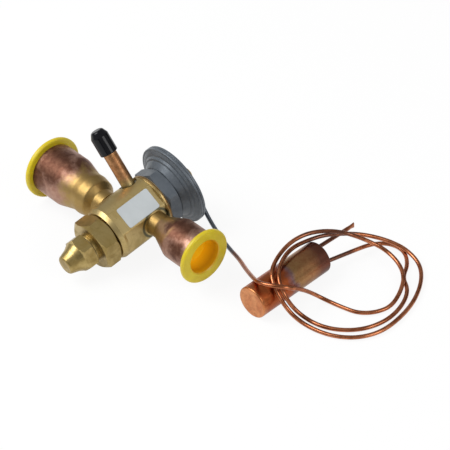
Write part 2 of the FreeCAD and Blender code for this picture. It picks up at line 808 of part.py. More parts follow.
def pushrods():
    return Part.makeCompound(pushrod_lines(CARRIER_FRONT_X, BUFFER_BACK_X, PUSHROD_R))


def pin_carrier():
    blank = turned([
        (CARRIER_HUB_X, 0),
        (CARRIER_HUB_X, CARRIER_HUB_R),
        (CARRIER_BACK_X, CARRIER_HUB_R),
        (CARRIER_BACK_X, CARRIER_R),
        (CARRIER_FRONT_X - EDGE_BREAK, CARRIER_R),
        (CARRIER_FRONT_X, CARRIER_R - EDGE_BREAK),
        (CARRIER_FRONT_X, 0),
    ])
    return blank.cut(rod(CARRIER_HUB_X, CARRIER_FRONT_X, PIN_SHANK_R))


def valve_pin():
    cone_r = PORT_R - PIN_CONE_GAP
    return turned([
        (CARRIER_HUB_X, 0),
        (CARRIER_HUB_X, PIN_SHANK_R),
        (CARRIER_FRONT_X, PIN_SHANK_R),
        (CARRIER_FRONT_X, cone_r),
        (CHAMBER_END_X, cone_r),
        (CHAMBER_END_X + PIN_TIP_LENGTH, PIN_TIP_R),
        (CHAMBER_END_X + PIN_TIP_LENGTH, 0),
    ])


def valve_seat():
    return turned([
        (CHAMBER_END_X, PORT_R),
        (CHAMBER_END_X, SEAT_R),
        (CHAMBER_END_X + SEAT_THICKNESS, SEAT_R),
        (CHAMBER_END_X + SEAT_THICKNESS, PORT_R + SEAT_FUNNEL),
        (CHAMBER_END_X + SEAT_THICKNESS - SEAT_FUNNEL, PORT_R),
    ])


def superheat_spring():
    """Wound wire between the carrier and the spring seat; the wire has a few flat sides."""
    front = CARRIER_BACK_X - SPRING_WIRE_R - SPRING_END_GAP
    back = SPRING_SEAT_FRONT_X + SPRING_WIRE_R + SPRING_END_GAP
    path = Part.makeHelix(SPRING_PITCH, front - back, SPRING_R)
    corners = []
    for i in range(SPRING_SIDES + 1):
        angle = 2 * math.pi * i / SPRING_SIDES
        across = SPRING_R + SPRING_WIRE_R * math.cos(angle)
        corners.append(vector(across, 0, SPRING_WIRE_R * math.sin(angle)))
    section = Part.makePolygon(corners)
    coil = Part.Wire(path).makePipeShell([section], True, True)
    coil.rotate(ORIGIN, vector(0, 1, 0), 90)
    coil.translate(vector(back, 0, 0))
    return coil


def spring_seat():
    """Disc threaded on the stem, kept from turning by two tongues."""
    disc = turned([
        (SPRING_SEAT_X, 0),
        (SPRING_SEAT_X, SPRING_SEAT_R),
        (SPRING_SEAT_FRONT_X - EDGE_BREAK, SPRING_SEAT_R),
        (SPRING_SEAT_FRONT_X, SPRING_SEAT_R - EDGE_BREAK),
        (SPRING_SEAT_FRONT_X, 0),
    ])
    reach = SPRING_SEAT_R + TONGUE_HEIGHT
    tongue = Part.makeBox(SPRING_SEAT_THICKNESS, 2 * reach, TONGUE_WIDTH)
    tongue.translate(vector(SPRING_SEAT_X, -reach, -TONGUE_WIDTH / 2))
    tongue = tongue.common(rod(SPRING_SEAT_X, SPRING_SEAT_FRONT_X, reach))
    bore = rod(SPRING_SEAT_X, SPRING_SEAT_FRONT_X, STEM_R + RUNNING_GAP)
    return disc.fuse(tongue).removeSplitter().cut(bore)


# Bottom cap, stem and seal cap

def adjusting_stem():
    collar_back = FLOOR_X + SEAT_GAP
    round_end = STEM_OUTER_X + STEM_SQUARE_LENGTH
    stem = turned([
        (round_end, 0),
        (round_end, STEM_R),
        (collar_back, STEM_R),
        (collar_back, COLLAR_R),
        (collar_back + COLLAR_THICKNESS, COLLAR_R),
        (collar_back + COLLAR_THICKNESS, STEM_R),
        (STEM_INNER_X - STEM_CHAMFER, STEM_R),
        (STEM_INNER_X, STEM_R - STEM_CHAMFER),
        (STEM_INNER_X, 0),
    ])
    square = Part.makeBox(STEM_SQUARE_LENGTH, STEM_SQUARE, STEM_SQUARE)
    square.translate(vector(STEM_OUTER_X, -STEM_SQUARE / 2, -STEM_SQUARE / 2))
    tip = turned([
        (STEM_OUTER_X, 0),
        (STEM_OUTER_X, STEM_SQUARE / 2),
        (STEM_OUTER_X + STEM_SQUARE_CHAMFER, STEM_R),
        (round_end, STEM_R),
        (round_end, 0),
    ])
    return stem.fuse(square.common(tip)).removeSplitter()


def bottom_cap():
    """Hexagon cap that screws into the body and carries the stem, its packing and seal cap."""
    hexagon_part = chamfered_hexagon(NUT_FRONT_X, NUT_BACK_X, NUT_FLATS, NUT_PHASE, NUT_CHAMFER)
    spigot_end = BOTTOM_X + SPIGOT_LENGTH
    spigot = rod(NUT_BACK_X, spigot_end, BOTTOM_THREAD_R - THREAD_GAP)
    neck = turned([
        (STEM_NECK_END_X, 0),
        (STEM_NECK_END_X, STEM_NECK_R - EDGE_BREAK),
        (STEM_NECK_END_X + EDGE_BREAK, STEM_NECK_R),
        (SHOULDER_X, STEM_NECK_R),
        (SHOULDER_X, SHOULDER_R, EDGE_R),
        (NUT_FRONT_X, SHOULDER_R),
        (NUT_FRONT_X, 0),
    ])
    cap = hexagon_part.fuse([spigot, neck]).removeSplitter()
    cap = cap.cut(rod(FLOOR_X, spigot_end, SPIGOT_BORE_R))
    cap = cap.cut(rod(STEM_NECK_END_X, FLOOR_X, STEM_R + RUNNING_GAP))
    cap = cap.cut(rod(STEM_NECK_END_X, PACKING_X, PACKING_R))
    slot_width = TONGUE_WIDTH + 2 * SLIDING_GAP
    slot_reach = SPRING_SEAT_R + TONGUE_HEIGHT + SLIDING_GAP
    slot = Part.makeBox(spigot_end - NUT_BACK_X, 2 * slot_reach, slot_width)
    slot.translate(vector(NUT_BACK_X, -slot_reach, -slot_width / 2))
    return cap.cut(slot.common(rod(NUT_BACK_X, spigot_end, slot_reach)))


def bottom_cap_gasket():
    return ring(NUT_BACK_X, BOTTOM_X, NUT_GASKET_R, BOTTOM_THREAD_R)


def packing_ring():
    return turned([
        (PACKING_X, STEM_R + RUNNING_GAP),
        (PACKING_X, PACKING_R),
        (PACKING_X - PACKING_LENGTH, PACKING_R),
        (PACKING_X - PACKING_LENGTH + PACKING_BEVEL, STEM_R + RUNNING_GAP),
    ])


def packing_nut():
    front = PACKING_X - PACKING_LENGTH - PACKING_NUT_GAP
    end = front - PACKING_NUT_LENGTH
    nut = turned([
        (end, STEM_R + SLIDING_GAP),
        (end, PACKING_R - THREAD_GAP),
        (front, PACKING_R - THREAD_GAP),
        (front + PACKING_BEVEL, STEM_R + SLIDING_GAP),
    ])
    slot = Part.makeBox(PACKING_NUT_SLOT_DEPTH, 2 * PACKING_R, PACKING_NUT_SLOT)
    slot.translate(vector(end, -PACKING_R, -PACKING_NUT_SLOT / 2))
    return nut.cut(slot)


def seal_cap_gasket():
    return ring(SEAL_CAP_BACK_X, SHOULDER_X, SHOULDER_R, STEM_NECK_R + THREAD_GAP)


def seal_cap():
    """Blind cap: a hexagon that runs into a bell-shaped nose."""
    corner_r = SEAL_CAP_FLATS / math.sqrt(3) + CORNER_SPARE
    waist_x = SEAL_CAP_HEX_END_X - SEAL_CAP_WAIST
    outside = turned([
        (SEAL_CAP_TIP_X, 0),
        (SEAL_CAP_TIP_X, SEAL_CAP_NOSE_R, SEAL_CAP_NOSE_BEND),
        (waist_x, SEAL_CAP_NOSE_R + SEAL_CAP_WAIST_DROP, SEAL_CAP_WAIST_BEND),
        (SEAL_CAP_HEX_END_X, SEAL_CAP_BELL_R),
        (SEAL_CAP_HEX_END_X + 2 * EDGE_BREAK, corner_r),
        (SEAL_CAP_BACK_X - EDGE_BREAK, corner_r),
        (SEAL_CAP_BACK_X, corner_r - 2 * EDGE_BREAK),
        (SEAL_CAP_BACK_X, 0),
    ])
    blank = hexagon(SEAL_CAP_TIP_X, SEAL_CAP_BACK_X, SEAL_CAP_FLATS, SEAL_CAP_PHASE)
    thread_end = SEAL_CAP_BACK_X - SEAL_CAP_THREAD_LENGTH
    cavity = turned([
        (thread_end - SEAL_CAP_CAVITY_LENGTH, 0),
        (thread_end - SEAL_CAP_CAVITY_LENGTH, SEAL_CAP_CAVITY_R),
        (thread_end - SEAL_CAP_CAVITY_TAPER, SEAL_CAP_CAVITY_R),
        (thread_end, STEM_NECK_R + THREAD_GAP),
        (SEAL_CAP_BACK_X, STEM_NECK_R + THREAD_GAP),
        (SEAL_CAP_BACK_X, 0),
    ])
    return blank.common(outside).cut(cavity)


# Rest position

def lean():
    """Tip of the valve's axis that puts the head's rim and the bottom nut on the table."""
    past_corner = (180 - NUT_PHASE) % 60
    off_bottom = min(past_corner, 60 - past_corner)
    nut_drop = NUT_FLATS / math.sqrt(3) * math.cos(math.radians(off_bottom))
    along = FLANGE_BACK_X + FLANGE_EDGE_R - NUT_FRONT_X - NUT_CHAMFER
    down = FLANGE_R - FLANGE_EDGE_R - nut_drop
    slope = math.atan2(down, along) + math.asin(FLANGE_EDGE_R / math.hypot(along, down))
    return math.degrees(slope)


LEAN = lean()
TILT = FreeCAD.Rotation(vector(0, 1, 0), -LEAN)
RIM_EDGE = TILT.multVec(vector(FLANGE_BACK_X + FLANGE_EDGE_R, 0, FLANGE_EDGE_R - FLANGE_R))
LIFT = vector(-MIDDLE_X, (INLET_REACH - OUTLET_REACH) / 2, FLANGE_EDGE_R - RIM_EDGE.z)
AT_REST = FreeCAD.Placement(LIFT, TILT)


def lay_down(shape):
    shape = shape.copy()
    shape.Placement = AT_REST.multiply(shape.Placement)
    return shape


# Capillary, bulb and charging stub

def boss_way():
    """Direction in which the capillary leaves the boss, square to the valve's axis."""
    angle = math.radians(BOSS_TUBE_ANGLE)
    return vector(0, -math.sin(angle), -math.cos(angle))


def bulb_direction():
    turn = math.radians(BULB_TURN)
    return vector(math.cos(turn), math.sin(turn), 0)


def bulb_start():
    return vector(BULB_START[0], BULB_START[1], BULB_R)


def on_bulb(shape):
    """Moves a shape turned about X onto the bulb's axis on the table."""
    shape = shape.copy()
    turn = FreeCAD.Rotation(AXIS, bulb_direction())
    shape.Placement = FreeCAD.Placement(bulb_start(), turn).multiply(shape.Placement)
    return shape


def bulb_side(sign):
    """Offset of a tube on the bulb's end plug: -1 is low and in front, +1 high and behind."""
    across = bulb_direction().cross(vector(0, 0, 1)) * -1
    angle = math.radians(BULB_TUBE_ANGLE)
    return (across * math.cos(angle) + vector(0, 0, math.sin(angle))) * BULB_TUBE_OFFSET * sign


def bulb_end():
    return bulb_start() + bulb_direction() * BULB_LENGTH


def bulb_shell():
    wall = BULB_R - BULB_WALL
    return on_bulb(turned([
        (0, 0),
        (0, BULB_R, BULB_EDGE_R),
        (BULB_LENGTH, BULB_R, BULB_EDGE_R),
        (BULB_LENGTH, wall),
        (BULB_WALL, wall),
        (BULB_WALL, 0),
    ]))


def bulb_end_plug():
    plug = on_bulb(rod(BULB_LENGTH - BULB_PLUG_LENGTH, BULB_LENGTH, BULB_R - BULB_WALL))
    for sign in (-1, 1):
        start = bulb_end() + bulb_side(sign) - bulb_direction() * BULB_PLUG_LENGTH
        plug = plug.cut(Part.makeCylinder(CAPILLARY_R, 2 * BULB_PLUG_LENGTH, start, bulb_direction()))
    return plug


def charge_tube():
    """Filling stub of the bulb, pinched flat and sealed at its tip."""
    start = bulb_end() + bulb_side(1)
    way = (bulb_direction() * STUB_ROUND_LENGTH + vector(0, 0, STUB_RISE)).normalize()
    into = bulb_direction() * BULB_PLUG_LENGTH
    inner = Part.makeCylinder(CAPILLARY_R, BULB_PLUG_LENGTH, start - into, bulb_direction())
    knee = Part.makeSphere(CAPILLARY_R, start)
    outer = Part.makeCylinder(CAPILLARY_R, STUB_ROUND_LENGTH, start, way)
    neck = start + way * STUB_ROUND_LENGTH
    turn = FreeCAD.Rotation(vector(0, 0, 1), way)
    circle = Part.Wire(Part.makeCircle(CAPILLARY_R))
    pinch = flat_outline(STUB_FLAT_WIDTH, STUB_FLAT_THICKNESS, STUB_FLAT_LENGTH)
    loft = Part.makeLoft([circle, pinch], True)
    loft.Placement = FreeCAD.Placement(neck, turn)
    return inner.fuse([knee, outer, loft]).removeSplitter()


def flat_outline(width, thickness, height):
    """Flattened oval in a plane at the given height."""
    half = width / 2 - thickness / 2
    side = thickness / 2
    left = vector(-half, 0, height)
    right = vector(half, 0, height)
    up = vector(0, side, 0)
    out = vector(side, 0, 0)
    return Part.Wire([
        Part.LineSegment(left + up, right + up).toShape(),
        Part.Arc(right + up, right + out, right - up).toShape(),
        Part.LineSegment(right - up, left - up).toShape(),
        Part.Arc(left - up, left - out, left + up).toShape(),
    ])


def route_points():
    """The hand-chosen route, with its two ends on the boss and on the bulb's plug."""
    start = AT_REST.multVec(vector(BOSS_TUBE_X, 0, 0) + boss_way() * BOSS_TUBE_DEPTH)
    end = bulb_end() + bulb_side(-1)
    return [start] + [vector(*point) for point in CAPILLARY_ROUTE] + [end]


def bend_radii(points):
    radii = [0]
    for i in range(1, len(points) - 1):
        before = points[i] - points[i - 1]
        after = points[i + 1] - points[i]
        turn = before.getAngle(after)
        reach = BEND_SHARE * min(before.Length, after.Length)
        radii.append(reach / math.tan(turn / 2))
    radii.append(0)
    return radii


def capillary_tube():
    points = route_points()
    radii = bend_radii(points)
    path = Part.Wire(rounded_edges(points, radii))
    start_way = (points[1] - points[0]).normalize()
    circle = Part.Wire(Part.makeCircle(CAPILLARY_R, points[0], start_way))
    tube = path.makePipeShell([circle], True, False)
    section = math.pi * CAPILLARY_R ** 2
    print("capillary length", round(path.Length, 1),
          "volume over section times length", round(tube.Volume / section / path.Length, 4))
    print("bend radii", [round(r, 1) for r in radii[1:-1]])
    return tube


VALVE_PIECES = [
    valve_body, label_plate, inlet_fitting, outlet_fitting, inlet_strainer, equalizer_tube,
    equalizer_cap, inlet_plug, outlet_plug, head_gasket, head_nut, lower_case, diaphragm,
    upper_case, capillary_boss, buffer_plate, pushrods, pin_carrier, valve_pin, valve_seat,
    superheat_spring, spring_seat, adjusting_stem, bottom_cap, bottom_cap_gasket,
    packing_ring, packing_nut, seal_cap_gasket, seal_cap,
]
TABLE_PIECES = [bulb_shell, bulb_end_plug, charge_tube, capillary_tube]


def main():
    os.makedirs("parts", exist_ok=True)
    print("lean", round(LEAN, 4), "lift", LIFT)
    for piece in VALVE_PIECES:
        lay_down(piece()).exportStep("parts/" + piece.__name__ + ".step")
    for piece in TABLE_PIECES:
        piece().exportStep("parts/" + piece.__name__ + ".step")


main()
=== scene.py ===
# %% [markdown]
# This lesson dresses an expansion valve for a refrigeration plant. The shapes come from a
# CAD model that is already in real size, in metres. Here they get their finishes, the camera
# and the light. Two pieces are drawn again: the long capillary as one smooth curve, and the
# spring inside the body as two halves.

# %% Load the frame
import bpy
import json
import math
from mathutils import Matrix, Vector


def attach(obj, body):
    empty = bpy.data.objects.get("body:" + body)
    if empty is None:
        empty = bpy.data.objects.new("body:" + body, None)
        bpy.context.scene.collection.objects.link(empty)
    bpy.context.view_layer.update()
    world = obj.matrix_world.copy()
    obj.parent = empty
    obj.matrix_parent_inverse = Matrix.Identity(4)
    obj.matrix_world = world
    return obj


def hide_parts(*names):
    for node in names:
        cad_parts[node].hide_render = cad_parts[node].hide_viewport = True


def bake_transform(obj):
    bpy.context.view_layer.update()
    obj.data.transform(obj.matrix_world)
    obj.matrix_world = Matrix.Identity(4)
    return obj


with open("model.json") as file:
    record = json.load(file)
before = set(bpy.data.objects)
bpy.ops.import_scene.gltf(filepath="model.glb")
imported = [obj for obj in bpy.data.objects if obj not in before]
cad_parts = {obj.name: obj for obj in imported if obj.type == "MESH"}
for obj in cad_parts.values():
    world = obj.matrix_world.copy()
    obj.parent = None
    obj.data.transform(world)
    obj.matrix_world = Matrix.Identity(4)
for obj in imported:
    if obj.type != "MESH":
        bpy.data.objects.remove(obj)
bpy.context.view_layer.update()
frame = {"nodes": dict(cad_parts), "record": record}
nodes = frame["nodes"]
print("solids", len(nodes))

# %% [markdown]
# The photograph was taken from high on the left, with a long lens. The camera's place was
# worked out from the round outlines of the valve. It is set with three angles (round, up and
# a slight roll) and with how far the picture's middle lies from the valve.

# %% Camera
ROUND = math.radians(-39.96)
UP = math.radians(40.03)
ROLL = math.radians(-3.31)
FOCAL = 176.0
TARGET = Vector((0.01935, -0.0059, 0.02266))
SIDE, RISE, AWAY = 0.04071, -0.01454, 1.2457

right = Vector((math.cos(ROUND), math.sin(ROUND), 0.0))
back = Vector((math.sin(ROUND) * math.cos(UP), -math.cos(ROUND) * math.cos(UP), math.sin(UP)))
over = back.cross(right)
across = right * math.cos(ROLL) + over * math.sin(ROLL)
upward = over * math.cos(ROLL) - right * math.sin(ROLL)
lens = bpy.data.cameras.new("camera")
lens.lens = FOCAL
lens.sensor_width = 36.0
lens.clip_start = 0.05
lens.clip_end = 20.0
camera = bpy.data.objects.new("camera", lens)
facing = Matrix((across, upward, back)).transposed().to_4x4()
camera_place = TARGET + across * SIDE + upward * RISE + back * AWAY
camera.matrix_world = Matrix.Translation(camera_place) @ facing
bpy.context.scene.collection.objects.link(camera)
bpy.context.scene.camera = camera
bpy.context.scene.view_settings.view_transform = "Standard"
print("camera at", [round(v, 4) for v in camera_place])

# %% [markdown]
# The capillary is a copper tube as thin as a pencil lead. It keeps every bend that a hand
# gave it, so its route is a list of points, given one by one. One curve with those points as
# its control points bends softly between them, and a round bevel gives it its thickness.

# %% Capillary
CAPILLARY = [
    (0.0447, -0.0074, 0.0244),
    (0.0455, -0.0145, 0.0155),
    (0.0445, -0.0210, 0.0075),
    (0.0430, -0.0290, 0.0028),
    (0.0405, -0.0380, 0.0015),
    (0.0370, -0.0495, 0.0015),
    (0.0335, -0.0615, 0.0035),
    (0.0255, -0.0760, 0.0100),
    (0.0175, -0.0910, 0.0180),
    (0.0125, -0.1020, 0.0235),
    (0.0200, -0.1155, 0.0245),
    (0.0315, -0.1145, 0.0155),
    (0.0400, -0.1140, 0.0070),
    (0.0450, -0.1185, 0.0020),
    (0.0475, -0.1285, 0.0015),
    (0.0505, -0.1390, 0.0015),
    (0.0580, -0.1455, 0.0015),
    (0.0673, -0.1478, 0.0015),
    (0.0791, -0.1433, 0.0020),
    (0.0874, -0.1379, 0.0044),
    (0.0931, -0.1277, 0.0052),
    (0.0938, -0.1162, 0.0074),
    (0.0880, -0.1090, 0.0125),
    (0.0790, -0.1060, 0.0205),
    (0.0735, -0.0995, 0.0225),
    (0.0675, -0.0930, 0.0225),
    (0.0590, -0.0885, 0.0225),
    (0.0480, -0.0875, 0.0220),
    (0.0335, -0.0925, 0.0225),
    (0.0230, -0.0995, 0.0225),
    (0.0190, -0.1080, 0.0175),
    (0.0210, -0.1145, 0.0070),
    (0.0230, -0.1225, 0.0020),
    (0.0250, -0.1345, 0.0015),
    (0.0295, -0.1450, 0.0015),
    (0.0375, -0.1535, 0.0015),
    (0.0495, -0.1585, 0.0015),
    (0.0650, -0.1575, 0.0015),
    (0.0795, -0.1535, 0.0015),
    (0.0940, -0.1450, 0.0015),
    (0.1035, -0.1345, 0.0015),
    (0.1050, -0.1225, 0.0040),
    (0.1005, -0.1135, 0.0075),
    (0.0935, -0.1060, 0.0110),
    (0.0855, -0.1010, 0.0145),
    (0.0770, -0.0970, 0.0170),
    (0.0690, -0.0925, 0.0180),
    (0.0595, -0.0900, 0.0185),
    (0.0470, -0.0905, 0.0210),
    (0.0340, -0.0960, 0.0225),
    (0.0240, -0.1040, 0.0220),
    (0.0210, -0.1120, 0.0165),
    (0.0240, -0.1165, 0.0070),
    (0.0270, -0.1235, 0.0020),
    (0.0290, -0.1325, 0.0015),
    (0.0335, -0.1410, 0.0015),
    (0.0405, -0.1480, 0.0015),
    (0.0495, -0.1525, 0.0015),
    (0.0610, -0.1540, 0.0015),
    (0.0738, -0.1508, 0.0015),
    (0.0837, -0.1445, 0.0015),
    (0.0886, -0.1354, 0.0015),
    (0.0984, -0.1300, 0.0015),
    (0.1054, -0.1204, 0.0017),
    (0.1035, -0.1109, 0.0024),
    (0.0952, -0.1049, 0.0036),
    (0.0807, -0.1028, 0.0052),
    (0.0619, -0.0999, 0.0066),
]
CAPILLARY_DIAMETER = 0.0024


def smooth_tube(name, points, diameter):
    """One curve whose control points are the given ones, with a round section."""
    data = bpy.data.curves.new(name, "CURVE")
    data.dimensions = "3D"
    line = data.splines.new("NURBS")
    line.points.add(len(points) - 1)
    for spot, point in zip(line.points, points):
        spot.co = (*point, 1.0)
        spot.radius = diameter / 2
    line.order_u = 3
    line.use_endpoint_u = True
    data.resolution_u = 8
    data.bevel_depth = 1.0
    data.bevel_resolution = 3
    data.use_fill_caps = True
    tube = bpy.data.objects.new(name, data)
    bpy.context.scene.collection.objects.link(tube)
    return tube


capillary = smooth_tube("capillary_line", CAPILLARY, CAPILLARY_DIAMETER)
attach(capillary, "valve")
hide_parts("capillary_tube")
print("capillary points", len(CAPILLARY))

# %% [markdown]
# Machined metal is never one even colour. The cutting tool leaves fine rings, handling leaves
# faint clouds, and small dark specks settle in. These effects are used by many finishes, so
# each is a node group that is built once. A group takes a position and gives back masks
# between 0 and 1, and every material uses those masks with its own colours.

# %% Tools for node trees
AXIS_LEAN = math.radians(8.3449)
AXIS_START = Vector((0.01935, -0.0059, 0.022508))
RING_SQUEEZE = 0.02


def put(tree, kind, **settings):
    """Adds a node and sets its own settings."""
    node = tree.nodes.new(kind)
    for key, value in settings.items():
        setattr(node, key, value)
    return node


def join(tree, source, target):
    """Wires one socket to another."""
    tree.links.new(source, target)


def fill(node, **values):
    """Sets a node's sockets by name, with an underscore for a space."""
    for key, value in values.items():
        node.inputs[key.replace("_", " ")].default_value = value


def ramp(tree, source, stops):
    """A colour ramp from (place, colour) stops."""
    node = put(tree, "ShaderNodeValToRGB")
    keys = node.color_ramp.elements
    while len(keys) < len(stops):
        keys.new(0.5)
    for key, (place, colour) in zip(keys, stops):
        key.position = place
        key.color = (*colour, 1.0)
    join(tree, source, node.inputs["Fac"])
    return node.outputs["Color"]


def blend_colours(tree, factor, first, second):
    """Mixes two colours by a mask; each may be a colour or a socket."""
    node = put(tree, "ShaderNodeMix", data_type="RGBA")
    join(tree, factor, node.inputs[0])
    for index, value in ((6, first), (7, second)):
        if isinstance(value, tuple):
            node.inputs[index].default_value = (*value, 1.0)
        else:
            join(tree, value, node.inputs[index])
    return node.outputs[2]


def calculate(tree, kind, first, second=0.0, third=0.0):
    """One sum on up to three values; each may be a number or a socket."""
    node = put(tree, "ShaderNodeMath", operation=kind)
    for index, value in enumerate((first, second, third)):
        if isinstance(value, (int, float)):
            node.inputs[index].default_value = value
        else:
            join(tree, value, node.inputs[index])
    return node.outputs[0]


def either(tree, choice, at_zero, at_one):
    """One number where the choice is 0 and another where it is 1."""
    return calculate(tree, "MULTIPLY_ADD", choice, at_one - at_zero, at_zero)


def length_of(tree, first, second):
    """How far a point lies from the line where both of its numbers are 0."""
    squares = [calculate(tree, "MULTIPLY", side, side) for side in (first, second)]
    return calculate(tree, "SQRT", calculate(tree, "ADD", *squares))


def rescale(tree, source, low, high, new_low=0.0, new_high=1.0):
    """Stretches a value from one span to another and stops at its ends."""
    node = put(tree, "ShaderNodeMapRange")
    join(tree, source, node.inputs["Value"])
    for key, value in (("From Min", low), ("From Max", high), ("To Min", new_low),
                       ("To Max", new_high)):
        node.inputs[key].default_value = value
    return node.outputs["Result"]


def new_group(name, inputs, outputs):
    """An empty node group with named inputs and outputs."""
    group = bpy.data.node_groups.new(name, "ShaderNodeTree")
    for key, kind, value in inputs:
        socket = group.interface.new_socket(name=key, in_out="INPUT", socket_type=kind)
        if value is not None:
            socket.default_value = value
    for key, kind in outputs:
        group.interface.new_socket(name=key, in_out="OUTPUT", socket_type=kind)
    return group, put(group, "NodeGroupInput"), put(group, "NodeGroupOutput")


print("axis leans", round(math.degrees(AXIS_LEAN), 2), "degrees")

# %% Clouds: soft uneven patches
clouds, enter, leave = new_group(
    "clouds",
    [("Position", "NodeSocketVector", None), ("Size", "NodeSocketFloat", 60.0),
     ("Low", "NodeSocketFloat", 0.4), ("High", "NodeSocketFloat", 0.6)],
    [("Mask", "NodeSocketFloat")])
puffs = put(clouds, "ShaderNodeTexNoise")
fill(puffs, Detail=5.0, Roughness=0.6, Distortion=0.4)
join(clouds, enter.outputs["Position"], puffs.inputs["Vector"])
join(clouds, enter.outputs["Size"], puffs.inputs["Scale"])
spread = put(clouds, "ShaderNodeMapRange", interpolation_type="SMOOTHSTEP")
join(clouds, puffs.outputs["Fac"], spread.inputs["Value"])
join(clouds, enter.outputs["Low"], spread.inputs["From Min"])
join(clouds, enter.outputs["High"], spread.inputs["From Max"])
join(clouds, spread.outputs["Result"], leave.inputs["Mask"])
print("group", clouds.name)

# %% Rings: the fine lines that a turning tool leaves round the axis
rings, enter, leave = new_group(
    "turning_rings",
    [("Position", "NodeSocketVector", None), ("Fineness", "NodeSocketFloat", 900.0)],
    [("Lines", "NodeSocketFloat")])
squeezed = put(rings, "ShaderNodeVectorMath", operation="MULTIPLY")
join(rings, enter.outputs["Position"], squeezed.inputs[0])
squeezed.inputs[1].default_value = (1.0, RING_SQUEEZE, RING_SQUEEZE)
lines = put(rings, "ShaderNodeTexNoise")
fill(lines, Detail=3.0, Roughness=0.7)
join(rings, squeezed.outputs[0], lines.inputs["Vector"])
join(rings, enter.outputs["Fineness"], lines.inputs["Scale"])
join(rings, lines.outputs["Fac"], leave.inputs["Lines"])
print("group", rings.name)

# %% Specks: small pits and spots of dirt
specks, enter, leave = new_group(
    "specks",
    [("Position", "NodeSocketVector", None), ("Size", "NodeSocketFloat", 400.0),
     ("Amount", "NodeSocketFloat", 0.12)],
    [("Mask", "NodeSocketFloat")])
dots = put(specks, "ShaderNodeTexVoronoi")
join(specks, enter.outputs["Position"], dots.inputs["Vector"])
join(specks, enter.outputs["Size"], dots.inputs["Scale"])
near = put(specks, "ShaderNodeMapRange", interpolation_type="SMOOTHSTEP")
join(specks, dots.outputs["Distance"], near.inputs["Value"])
join(specks, enter.outputs["Amount"], near.inputs["From Min"])
near.inputs["From Max"].default_value = 0.0
thin = put(specks, "ShaderNodeTexNoise")
fill(thin, Scale=60.0, Detail=2.0)
join(specks, enter.outputs["Position"], thin.inputs["Vector"])
some = rescale(specks, thin.outputs["Fac"], 0.5, 0.6)
join(specks, calculate(specks, "MULTIPLY", near.outputs["Result"], some), leave.inputs["Mask"])
print("group", specks.name)

# %% [markdown]
# Two effects are placed one by one. A smudge is one stain with a ragged border, for the places
# where the flame of the torch touched. A port ring is a dark line of painted shade round a
# tube, where the tube is brazed into the body.

# %% Smudge: one stain, put where the photograph shows it
RAGGEDNESS = 1.6
SMUDGE_OUTER, SMUDGE_INNER = 1.95, 1.5
smudge, enter, leave = new_group(
    "smudge",
    [("Position", "NodeSocketVector", None), ("Centre", "NodeSocketVector", None),
     ("Radius", "NodeSocketFloat", 0.01)],
    [("Mask", "NodeSocketFloat")])
apart = put(smudge, "ShaderNodeVectorMath", operation="DISTANCE")
join(smudge, enter.outputs["Position"], apart.inputs[0])
join(smudge, enter.outputs["Centre"], apart.inputs[1])
ragged = put(smudge, "ShaderNodeTexNoise")
fill(ragged, Scale=110.0, Detail=6.0, Roughness=0.65)
join(smudge, enter.outputs["Position"], ragged.inputs["Vector"])
share = calculate(smudge, "DIVIDE", apart.outputs["Value"], enter.outputs["Radius"])
share = calculate(smudge, "MULTIPLY_ADD", ragged.outputs["Fac"], RAGGEDNESS, share)
join(smudge, rescale(smudge, share, SMUDGE_OUTER, SMUDGE_INNER), leave.inputs["Mask"])
print("group", smudge.name)

# %% Port ring: painted shade, a dark line round a tube, on one side of the valve's axis only
RING_FROM, RING_ON = 0.009, 0.011
port_shade_ring, enter, leave = new_group(
    "port_shade_ring",
    [("Position", "NodeSocketVector", None), ("Start", "NodeSocketVector", None),
     ("Way", "NodeSocketVector", None), ("Radius", "NodeSocketFloat", 0.01),
     ("Width", "NodeSocketFloat", 0.001)],
    [("Mask", "NodeSocketFloat")])
offset = put(port_shade_ring, "ShaderNodeVectorMath", operation="SUBTRACT")
join(port_shade_ring, enter.outputs["Position"], offset.inputs[0])
join(port_shade_ring, enter.outputs["Start"], offset.inputs[1])
crossed = put(port_shade_ring, "ShaderNodeVectorMath", operation="CROSS_PRODUCT")
ahead = put(port_shade_ring, "ShaderNodeVectorMath", operation="DOT_PRODUCT")
for node in (crossed, ahead):
    join(port_shade_ring, offset.outputs["Vector"], node.inputs[0])
    join(port_shade_ring, enter.outputs["Way"], node.inputs[1])
off_line = put(port_shade_ring, "ShaderNodeVectorMath", operation="LENGTH")
join(port_shade_ring, crossed.outputs["Vector"], off_line.inputs[0])
gap = calculate(port_shade_ring, "SUBTRACT", off_line.outputs["Value"], enter.outputs["Radius"])
gap = calculate(port_shade_ring, "DIVIDE", calculate(port_shade_ring, "ABSOLUTE", gap),
                enter.outputs["Width"])
on_ring = rescale(port_shade_ring, gap, 1.0, 0.4)
on_this_side = rescale(port_shade_ring, ahead.outputs["Value"], RING_FROM, RING_ON)
join(port_shade_ring, calculate(port_shade_ring, "MULTIPLY", on_ring, on_this_side), leave.inputs["Mask"])
print("group", port_shade_ring.name)

# %% [markdown]
# Every material starts the same way: a Principled shader, and the position on the object
# turned so that its first number runs along the valve's own axis. The rings of a turned
# piece then run round the piece, as on the lathe.

# %% A material's start


def start_material(name, roughness, metallic):
    """Returns the material, its tree, its shader and the position along the valve's axis."""
    material = bpy.data.materials.new(name)
    material.use_nodes = True
    tree = material.node_tree
    shader = tree.nodes["Principled BSDF"]
    shader.inputs["Roughness"].default_value = roughness
    shader.inputs["Metallic"].default_value = metallic
    coordinates = put(tree, "ShaderNodeTexCoord")
    lay = put(tree, "ShaderNodeMapping", vector_type="TEXTURE")
    lay.inputs["Location"].default_value = AXIS_START
    lay.inputs["Rotation"].default_value = (0.0, -AXIS_LEAN, 0.0)
    join(tree, coordinates.outputs["Object"], lay.inputs["Vector"])
    return material, tree, shader, lay.outputs["Vector"]


